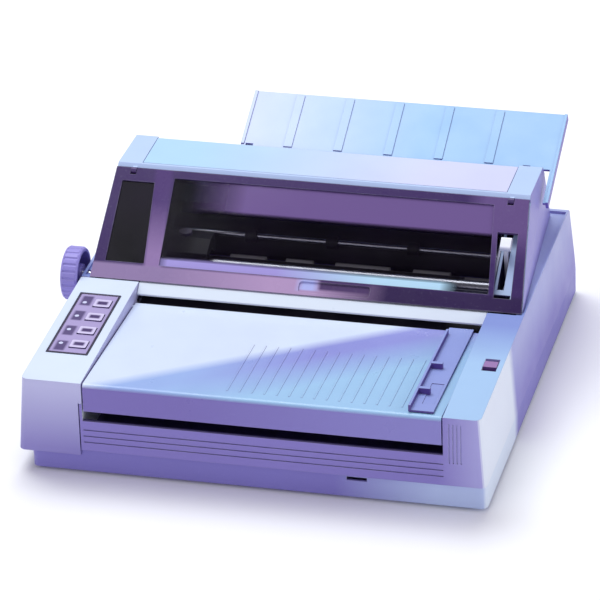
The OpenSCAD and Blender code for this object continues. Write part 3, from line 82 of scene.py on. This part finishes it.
class Shader:
    """A material, with short ways to add and join its nodes."""

    def __init__(self, name):
        self.material = bpy.data.materials.new(name)
        self.material.use_nodes = True
        self.tree = self.material.node_tree
        self.bsdf = self.tree.nodes["Principled BSDF"]

    def feed(self, socket, value):
        """Join another node's output to a socket, or write a plain value there."""
        if isinstance(value, bpy.types.NodeSocket):
            self.tree.links.new(value, socket)
        else:
            socket.default_value = value

    def add(self, kind, sockets=None, **properties):
        """A new node with its properties set and its sockets fed."""
        node = self.tree.nodes.new(kind)
        for name, value in properties.items():
            setattr(node, name, value)
        for name, value in (sockets or {}).items():
            self.feed(node.inputs[name], value)
        return node

    def surface(self, name, value):
        self.feed(self.bsdf.inputs[name], value)

    def mix(self, mask, a, b):
        """Colour a where the mask is 0, colour b where it is 1."""
        sockets = {MIX_FACTOR: mask, MIX_A: a, MIX_B: b}
        return self.add("ShaderNodeMix", sockets, data_type="RGBA").outputs[MIX_RESULT]

    def both(self, a, b):
        """The product of two values: a mask for where both are 1."""
        return self.add("ShaderNodeMath", {0: a, 1: b}, operation="MULTIPLY").outputs[0]

    def either(self, a, b):
        return self.add("ShaderNodeMath", {0: a, 1: b}, operation="MAXIMUM").outputs[0]

    def span(self, value, start, end, low=0.0, high=1.0):
        """low where the value is at start, high where it is at end, and a straight ramp between."""
        sockets = {0: value, 1: start, 2: end, 3: low, 4: high}
        return self.add("ShaderNodeMapRange", sockets, clamp=True).outputs[0]

    def coordinate(self, kind="Object"):
        return self.add("ShaderNodeTexCoord").outputs[kind]

    def noise(self, scale, detail=3.0, rough=0.5, stretch=None):
        """Cloudy noise, scale features a metre, packed closer along an axis by its stretch."""
        place = self.coordinate()
        if stretch:
            place = self.add("ShaderNodeMapping", {"Vector": place, "Scale": stretch}).outputs[0]
        sockets = {"Vector": place, "Scale": scale, "Detail": detail, "Roughness": rough}
        return self.add("ShaderNodeTexNoise", sockets).outputs["Fac"]

    def facing(self, axis, start):
        """A mask for faces that point along an axis, from a first share of their normal on."""
        parts = self.add("ShaderNodeSeparateXYZ", {0: self.coordinate("Normal")}).outputs
        return self.span(parts["xyz".index(axis)], start, FULLY_FACING)

    def along(self, direction):
        """Metres from the origin along an axis or a slanting direction."""
        sockets = {0: self.coordinate(), 1: AXES.get(direction, direction)}
        return self.add("ShaderNodeVectorMath", sockets, operation="DOT_PRODUCT").outputs["Value"]

    def fade(self, direction, start, end):
        """A mask that rises from 0 at one place along a direction to 1 at another."""
        return self.span(self.along(direction), start, end)

    def strip(self, direction, start, end, soft):
        """A mask for what lies between two places along a direction, with soft edges."""
        value = self.along(direction)
        rise = self.span(value, start - soft, start + soft)
        fall = self.span(value, end + soft, end - soft)
        return self.both(rise, fall)

    def patch(self, left, right, front, rear, soft):
        """A mask for a rectangle seen from above."""
        return self.both(self.strip("x", left, right, soft), self.strip("y", front, rear, soft))

    def rounded(self, radius):
        """The normal that rounded edges would have."""
        return self.add("ShaderNodeBevel", {"Radius": radius}, samples=BEVEL_SAMPLES).outputs[0]

    def edge(self, radius):
        """A mask for edges, convex or concave, as wide as the radius."""
        sockets = {0: self.rounded(radius), 1: self.add("ShaderNodeNewGeometry").outputs["Normal"]}
        cosine = self.add("ShaderNodeVectorMath", sockets, operation="DOT_PRODUCT").outputs["Value"]
        return self.span(cosine, FLAT_COSINE, EDGE_COSINE)

    def relief(self, height, depth, strength, radius=0.0):
        """Bumps of a depth, over edges that look rounded where there is a radius."""
        sockets = {"Height": height, "Distance": depth, "Strength": strength}
        if radius:
            sockets["Normal"] = self.rounded(radius)
        self.surface("Normal", self.add("ShaderNodeBump", sockets).outputs[0])


# ---------------------------------------------------------------- kinds of material
MOULDED_EDGE = 0.0007
CUT_EDGE = 0.0003
WORN_EDGE = 0.0011
MOTTLE_TONE = (0.10, 0.08, 0.22, 1)
SPECK_TONE = (0.8, 0.8, 1, 1)
WORN_TONE = (0.90, 0.92, 1.0, 1)


def moulded(name, side, top, rough=0.42, grain=1.0, wear=0.12, coat=0.0, shine=0.45, paint=None):
    """Injection-moulded plastic: eroded grain, faint mottling, rubbed edges, and top faces paler than the
    sides as painted light.
    """
    shader = Shader(name)
    if paint:
        side, top = paint(shader, side, top)
    # Top faces take the paler top tone: painted light, as if lit from above with the sides in shade.
    colour = shader.mix(shader.facing("z", 0.15), side, top)
    mottle = shader.span(shader.noise(9.0, detail=4.0), 0.30, 0.72)
    colour = shader.mix(mottle, shader.mix(0.06, colour, MOTTLE_TONE), colour)
    speck = shader.span(shader.noise(420.0, detail=2.0), 0.62, 0.74, 0.0, 0.025)
    colour = shader.mix(speck, colour, SPECK_TONE)
    rub = shader.span(shader.noise(60.0, detail=5.0), 0.35, 0.65, 0.3, 1.0)
    rub = shader.both(shader.edge(WORN_EDGE), rub)
    colour = shader.mix(shader.both(rub, wear), colour, WORN_TONE)
    shader.surface("Base Color", colour)
    shader.relief(shader.noise(1500.0, detail=2.0), 0.00006, 0.35 * grain, MOULDED_EDGE)
    blotch = shader.noise(35.0, detail=4.0)
    shader.surface("Roughness", shader.span(blotch, 0.3, 0.7, rough - 0.05, rough + 0.06))
    shader.surface("Specular IOR Level", shine)
    shader.surface("Coat Weight", coat)
    shader.surface("Coat Roughness", 0.25)
    return shader


def metal(name, colour, rough, stretch=(1, 1, 1), scale=600.0, stains=0.25):
    """Brushed or turned metal with a few darker stains."""
    shader = Shader(name)
    lines = shader.noise(scale, rough=0.6, stretch=stretch)
    stain = shader.span(shader.noise(22.0, detail=5.0), 0.4, 0.75)
    shader.surface("Base Color", shader.mix(shader.both(stain, stains), colour, scaled(colour, 0.55)))
    shader.surface("Metallic", 1.0)
    shader.surface("Roughness", shader.span(lines, 0.3, 0.7, rough - 0.06, rough + 0.12))
    shader.relief(lines, 0.00004, 0.4, CUT_EDGE)
    return shader


def rubber(name, colour):
    """Matt rubber with a little dust in it."""
    shader = Shader(name)
    dust = shader.span(shader.noise(70.0, detail=5.0), 0.45, 0.8, 0.0, 0.35)
    shader.surface("Base Color", shader.mix(dust, colour, scaled(colour, 2.2, lift=0.02)))
    shader.relief(shader.noise(900.0), 0.00008, 0.5, CUT_EDGE)
    shader.surface("Roughness", 0.62)
    return shader


def circuit_board():
    """Green board with pale traces between its cells."""
    shader = Shader("board_green")
    sockets = {"Vector": shader.coordinate(), "Scale": 220.0}
    trace = shader.add("ShaderNodeTexVoronoi", sockets, feature="DISTANCE_TO_EDGE").outputs["Distance"]
    colour = shader.mix(shader.span(trace, 0.02, 0.06), tone(96, 140, 84), tone(34, 84, 52))
    shader.surface("Base Color", colour)
    shader.relief(trace, 0.0001, 0.3)
    shader.surface("Roughness", 0.35)
    return shader


def smoked_pane():
    """Dark violet acrylic, with a band of painted light along its top and a painted highlight on the bevel
    along its foot.
    """
    shader = Shader("smoked_glass")
    haze = shader.span(shader.noise(14.0, detail=4.0), 0.35, 0.75)
    glass = shader.mix(haze, tone(12, 8, 18), tone(24, 16, 34))
    # A band of painted light along the pane's top, fading out towards the left.
    band = shader.both(shader.fade("z", 0.1350, 0.1372), shader.fade("x", -0.112, -0.060))
    # A painted highlight on the bevel along the pane's foot, lavender on the left and pale cyan on the
    # right.
    bevel = shader.both(shader.strip("x", -0.128, 0.138, 0.008), shader.fade("z", 0.1076, 0.1062))
    painted_highlight = shader.mix(shader.fade("x", -0.02, 0.07), tone(166, 154, 216), tone(186, 222, 242))
    colour = shader.mix(bevel, shader.mix(band, glass, tone(112, 90, 142)), painted_highlight)
    shader.surface("Base Color", colour)
    side_pane = shader.fade("x", -0.098, -0.135)
    solid = shader.either(shader.either(band, bevel), side_pane)
    shader.surface("Alpha", shader.span(solid, 0.0, 1.0, 0.32, 0.97))
    shader.surface("Roughness", shader.span(shader.noise(90.0), 0.3, 0.7, 0.05, 0.11))
    shader.surface("Specular IOR Level", 0.04)
    return shader


# ---------------------------------------------------------------- changes of tone on the plastics
# Where a painted highlight on the right wall begins, and where it is full, on its way to the front
HIGHLIGHT_START, HIGHLIGHT_END = -0.068, -0.084
# Least share of the normal at which a face belongs to the right wall
WALL_FACING = 0.45
KEYS = ["key_1", "key_2", "key_3", "key_4"]
EAR_TONE = tone(70, 46, 104)
KEY_MARK_TONE = tone(66, 46, 100)
LAMP_WELL_TONE = tone(66, 48, 102)


def case_paint(shader, side, top):
    """Sides fade from a painted highlight at the front corner to a deeper tone at the rear and below;
    painted shade darkens the deck and the paper slot.
    """
    foot = shader.fade("z", 0.080, 0.035)
    # A painted highlight on the front part of the right wall.
    wall_highlight = shader.fade((0, 1, 0.05), HIGHLIGHT_START, HIGHLIGHT_END)
    right_end = shader.fade("x", 0.172, 0.205)
    # Painted shade on the deck behind the towers, paler again further back, and painted shade on the
    # floors inside the paper slot.
    deck = shader.fade("y", -0.11, -0.04)
    rear_deck = shader.fade("y", -0.01, 0.03)
    paper_slot = shader.fade("z", 0.070, 0.062)

    wall = shader.mix(foot, tone(166, 170, 220), tone(136, 130, 202))
    wall = shader.mix(wall_highlight, wall, tone(232, 240, 250))
    front = shader.mix(right_end, side, tone(168, 164, 220))
    side = shader.mix(shader.facing("x", WALL_FACING), front, wall)
    top = shader.mix(deck, top, tone(126, 144, 208))
    top = shader.mix(rear_deck, top, tone(190, 202, 244))
    top = shader.mix(paper_slot, top, tone(60, 50, 96))
    return side, top


def pan_paint(shader, side, top):
    """Deep violet on the left, paler to the right, with a painted highlight on the right wall's front."""
    right_end = shader.fade("x", 0.08, 0.17)
    # A painted highlight on the front part of the right wall.
    wall_highlight = shader.fade("y", HIGHLIGHT_START, HIGHLIGHT_END)
    front = shader.mix(right_end, side, tone(184, 200, 236))
    wall = shader.mix(wall_highlight, tone(128, 122, 198), tone(222, 234, 248))
    return shader.mix(shader.facing("x", WALL_FACING), front, wall), top


def pod_paint(shader, side, top):
    """The tower's front deepens towards its foot."""
    foot = shader.fade("z", 0.085, 0.025)
    return shader.mix(foot, side, tone(140, 132, 196)), top


def table_paint(shader, side, top):
    """The satin table carries a painted reflection: a slanting band that is darker towards the right."""
    # The slanting band is a painted reflection on the satin top, darker towards the right.
    slant = shader.along((-0.70, 1.0, 0.0))
    right_part = shader.fade("x", -0.06, 0.04)
    deep = shader.mix(right_part, tone(152, 178, 228), tone(140, 144, 212))
    band = shader.mix(shader.span(slant, -0.142, -0.205), deep, tone(156, 196, 230))
    top = shader.mix(shader.span(slant, -0.106, -0.124), top, band)
    lip_end = shader.fade("x", -0.05, 0.15)
    return shader.mix(lip_end, side, tone(138, 132, 202)), top


def lid_paint(shader, side, top):
    """The lid turns from blue to lavender towards the right."""
    right_part = shader.fade("x", -0.12, 0.10)
    return side, shader.mix(right_part, top, tone(206, 208, 240))


def cover_paint(shader, side, top):
    """Smoked styrene: pale along the left part of its lower edge, palest near the middle, deep violet on
    the right, with a painted highlight and painted shade at the finger recess.
    """
    paler_middle = shader.fade("x", -0.12, -0.02)
    deep_part = shader.fade("x", 0.015, 0.085)
    rail = shader.mix(paler_middle, tone(142, 120, 162), tone(176, 146, 186))
    rail = shader.mix(deep_part, rail, tone(42, 20, 70))
    # A painted highlight on the left of the finger recess, and painted shade inside the rest of it.
    recess_highlight = shader.both(shader.strip("x", 0.004, 0.020, 0.004), shader.fade("z", 0.0955, 0.0965))
    rail = shader.mix(recess_highlight, rail, tone(176, 182, 234))
    shade = shader.both(shader.strip("x", 0.022, 0.069, 0.002), shader.fade("z", 0.0960, 0.0975))
    rail = shader.mix(shade, rail, tone(74, 50, 96))

    rib = shader.strip((1, 0, 0.152), -0.125, -0.109, 0.002)
    rib_tone = shader.mix(shader.fade("z", 0.110, 0.140), tone(142, 114, 164), tone(68, 38, 104))
    colour = shader.mix(rib, top, rib_tone)
    upper_right = shader.both(shader.fade("x", 0.140, 0.158), shader.fade("z", 0.120, 0.140))
    colour = shader.mix(upper_right, colour, tone(96, 72, 126))
    colour = shader.mix(shader.fade("z", 0.1035, 0.1020), colour, rail)
    return colour, colour


def housing_paint(shader, side, top):
    """The two ears between the cover's knuckles are moulded in the cover's colour."""
    ear_w, seam, soft = 0.0055, 0.0005, 0.0002
    lid_low, lid_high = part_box("top_lid")
    left_ear = shader.strip("x", lid_low.x - ear_w, lid_low.x + seam, soft)
    right_ear = shader.strip("x", lid_high.x - seam, lid_high.x + ear_w, soft)
    ears = shader.either(left_ear, right_ear)
    ears = shader.both(ears, shader.fade("y", 0.0780, 0.0776))
    ears = shader.both(ears, shader.fade("z", 0.1500, 0.1510))
    return shader.mix(ears, side, EAR_TONE), shader.mix(ears, top, EAR_TONE)


def sheet_guide_paint(shader, side, top):
    """The sheet guide is palest at its left end."""
    right_part = shader.fade("x", -0.08, 0.08)
    return side, shader.mix(right_part, tone(190, 204, 234), top)


def key_paint(shader, side, top):
    """Each key carries a dark bar-shaped mark."""
    half_length, half_width, soft = 0.0048, 0.0030, 0.0010
    for key in KEYS:
        low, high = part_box(key)
        middle = (low + high) / 2
        bar = shader.patch(middle.x - half_length, middle.x + half_length,
                           middle.y - half_width, middle.y + half_width, soft)
        top = shader.mix(bar, top, KEY_MARK_TONE)
    return side, top


def panel_paint(shader, side, top):
    """A dark rim round a lavender field, with a dark surround for each key's lamp."""
    rim, rim_soft = 0.0018, 0.0003
    well_left, well_right, well_half, well_soft = 0.0048, 0.0145, 0.0085, 0.0012
    low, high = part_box("key_frame")
    field = shader.patch(low.x + rim, high.x - rim, low.y + rim, high.y - rim, rim_soft)
    top = shader.mix(field, top, tone(170, 156, 202))
    for row in range(len(KEYS)):
        y = low.y + (high.y - low.y) * (row + 0.5) / len(KEYS)
        well = shader.patch(low.x + well_left, low.x + well_right, y - well_half, y + well_half, well_soft)
        top = shader.mix(shader.both(well, 0.9), top, LAMP_WELL_TONE)
    return side, top


# ---------------------------------------------------------------- finishes of the pieces
def give(shader, *names):
    """Put a material on nodes of the model."""
    for name in names:
        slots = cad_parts[name].data.materials
        slots.clear()
        slots.append(shader.material)


def finish_shells():
    """Case, towers, covers and what is worked from outside."""
    # Each material's paler top tone, set against its side tone, is painted light.
    give(moulded("case_plastic", tone(134, 122, 196), tone(162, 196, 232), paint=case_paint), "main_case")
    give(moulded("pan_plastic", tone(128, 120, 194), tone(150, 142, 210), paint=pan_paint), "bottom_pan")
    give(moulded("pod_plastic", tone(190, 190, 228), tone(212, 224, 244), paint=pod_paint), "control_pod")
    give(moulded("table_plastic", tone(124, 110, 184), tone(212, 224, 244), rough=0.32,
                 paint=table_paint), "front_table")
    give(moulded("guide_plastic", tone(84, 62, 142), tone(140, 154, 214)),
         "edge_guide", "tractor_door_left", "tractor_door_right")
    give(moulded("sill_plastic", tone(226, 236, 250), tone(228, 238, 248), rough=0.3), "paper_sill")
    give(moulded("housing_plastic", tone(150, 144, 210), tone(182, 204, 238),
                 paint=housing_paint), "upper_housing")
    give(moulded("lid_plastic", tone(180, 190, 235), tone(172, 208, 238), paint=lid_paint), "top_lid")
    give(moulded("sheet_guide_plastic", tone(112, 94, 186), tone(138, 182, 224), rough=0.36,
                 paint=sheet_guide_paint), "sheet_guide")
    give(moulded("smoked_plastic", tone(54, 30, 88), tone(54, 30, 88), rough=0.26, grain=0.3, wear=0.2,
                 coat=0.05, shine=0.12, paint=cover_paint), "front_cover")
    give(smoked_pane(), "cover_window")
    give(rubber("foot_rubber", tone(38, 36, 46)), "rubber_feet")


def finish_controls():
    """Keys, lamps, knobs, lever, selector and switch."""
    give(moulded("knob_plastic", tone(150, 140, 214), tone(150, 140, 214)), "feed_knob")
    give(moulded("selector_plastic", tone(96, 66, 128), tone(150, 112, 168), rough=0.4), "selector_slide")
    give(moulded("key_plastic", tone(70, 50, 116), tone(210, 200, 234), rough=0.3, paint=key_paint),
         *KEYS, "ribbon_knob")
    give(moulded("panel_black", tone(34, 26, 54), tone(34, 26, 54), rough=0.3,
                 paint=panel_paint), "key_frame")
    give(moulded("lamp_plastic", tone(190, 190, 232), tone(214, 216, 248), rough=0.15, grain=0.1,
                 coat=0.6), "indicator_lamps")
    give(moulded("lever_plastic", tone(228, 230, 246), tone(240, 242, 252), rough=0.3), "thickness_lever")
    give(moulded("switch_plastic", tone(26, 24, 36), tone(30, 28, 40), rough=0.28, wear=0.1),
         "power_switch")


def finish_mechanism():
    """What lies under the covers."""
    give(moulded("dark_plastic", tone(24, 21, 30), tone(28, 25, 36), rough=0.5, wear=0.15),
         "paper_floor", "carriage", "ribbon_cartridge", "tractor_left", "tractor_right", "rear_sockets")
    give(moulded("pressure_plastic", tone(228, 224, 232), tone(236, 232, 238), rough=0.35),
         "pressure_rollers")
    give(moulded("gear_nylon", tone(206, 200, 214), tone(214, 208, 220), rough=0.38, grain=0.4),
         "platen_gear", "feed_gear", "idler_gear_a", "idler_gear_b",
         "tractor_idler_a", "tractor_idler_b", "drive_pulley", "return_pulley")
    give(metal("frame_steel", tone(150, 150, 172), 0.38, stretch=(1, 30, 30)),
         "left_frame", "right_frame", "carriage_rail", "tractor_shaft", "case_screws")
    give(metal("shaft_steel", tone(205, 205, 220), 0.2, stretch=(40, 1, 1), scale=300.0, stains=0.1),
         "platen_core", "feed_shaft", "carriage_shaft", "paper_bail", "tractor_rod")
    give(metal("motor_steel", tone(120, 120, 132), 0.45), "feed_motor", "carriage_motor")
    give(metal("head_alloy", tone(60, 60, 72), 0.5), "print_head")
    give(metal("brass", tone(196, 160, 90), 0.3), "motor_pinion")
    give(metal("supply_steel", tone(110, 108, 112), 0.5), "power_supply")
    give(rubber("roller_rubber", tone(34, 32, 40)),
         "platen_sleeve", "feed_sleeves", "bail_rollers", "carriage_belt")
    give(circuit_board(), "control_board")


# ---------------------------------------------------------------- floor and light
FLOOR_HALF = 8.0
STUDIO_TONE, STUDIO_STRENGTH = (0.90, 0.88, 1.0, 1), 0.45
LIGHT_AIM = (0, 0, 0.1)


def make_floor():
    """A plain pale floor."""
    mesh = bpy.data.meshes.new("floor")
    grid = bmesh.new()
    bmesh.ops.create_grid(grid, x_segments=1, y_segments=1, size=FLOOR_HALF)
    grid.to_mesh(mesh)
    grid.free()
    floor = bpy.data.objects.new("floor", mesh)
    bpy.context.scene.collection.objects.link(floor)
    shader = Shader("floor_white")
    shader.surface("Base Color", shader.mix(shader.noise(3.0), tone(250, 250, 252), tone(255, 255, 255)))
    shader.surface("Roughness", 0.9)
    mesh.materials.append(shader.material)


def make_world():
    """Soft light from all round, with a white background for the camera alone."""
    world = bpy.data.worlds.new("studio")
    bpy.context.scene.world = world
    world.use_nodes = True
    tree = world.node_tree
    studio = tree.nodes["Background"]
    studio.inputs["Color"].default_value = STUDIO_TONE
    studio.inputs["Strength"].default_value = STUDIO_STRENGTH
    white = tree.nodes.new("ShaderNodeBackground")
    white.inputs["Color"].default_value = (1, 1, 1, 1)
    white.inputs["Strength"].default_value = 1.0
    path = tree.nodes.new("ShaderNodeLightPath")
    pick = tree.nodes.new("ShaderNodeMixShader")
    tree.links.new(path.outputs["Is Camera Ray"], pick.inputs[0])
    tree.links.new(studio.outputs[0], pick.inputs[1])
    tree.links.new(white.outputs[0], pick.inputs[2])
    tree.links.new(pick.outputs[0], tree.nodes["World Output"].inputs[0])


def add_light(name, place, size, power, colour):
    """A rectangular lamp that points at the object."""
    data = bpy.data.lights.new(name, "AREA")
    data.shape = "RECTANGLE"
    data.size, data.size_y = size
    data.energy = power
    data.color = colour
    light = bpy.data.objects.new(name, data)
    bpy.context.scene.collection.objects.link(light)
    light.location = place
    ray = Vector(LIGHT_AIM) - Vector(place)
    light.rotation_euler = ray.to_track_quat("-Z", "Y").to_euler()


make_camera()
finish_shells()
finish_controls()
finish_mechanism()
make_floor()
make_world()
add_light("top_light", (-0.5, 0.7, 2.2), (1.8, 1.4), 46.0, (0.96, 1.0, 1.0))
add_light("front_fill", (-0.8, -2.2, 1.0), (1.6, 1.2), 9.0, (0.95, 0.92, 1.0))
add_light("right_fill", (2.2, -0.4, 0.9), (1.4, 1.0), 10.0, (0.95, 0.93, 1.0))

bpy.context.scene.view_settings.view_transform = "Standard"
